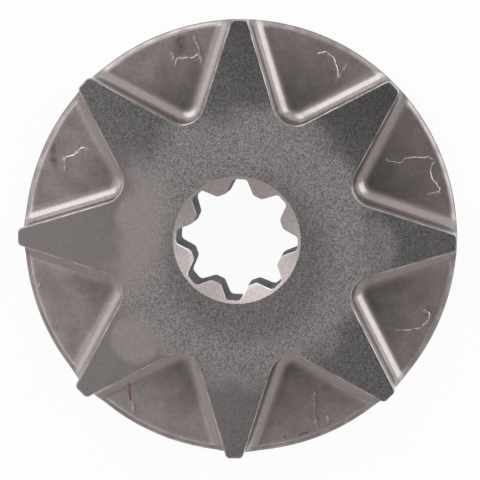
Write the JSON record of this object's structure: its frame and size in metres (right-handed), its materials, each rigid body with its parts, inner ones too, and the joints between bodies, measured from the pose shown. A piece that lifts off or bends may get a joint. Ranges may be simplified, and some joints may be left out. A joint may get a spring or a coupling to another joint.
{
  "type": "chainsaw sprocket",
  "caption": "Star-shaped chainsaw drive sprocket: pointed star on a round flange disc, with pockets for the chain between the points and a splined bore with a shallow lead-in.",
  "frame": {"origin": "centre of the flat back face, on the axis of the bore", "axes": "+Z along the bore from the flat back to the star face, +X through the end of one star point"},
  "size_m": [0.0362, 0.0362, 0.008],
  "materials": {
    "steel": "bare pressed steel: fine sandy grain on the star face, smoother satin pocket floors"
  },
  "bodies": {
    "root": {"sprocket": "steel"}
  },
  "joints": []
}
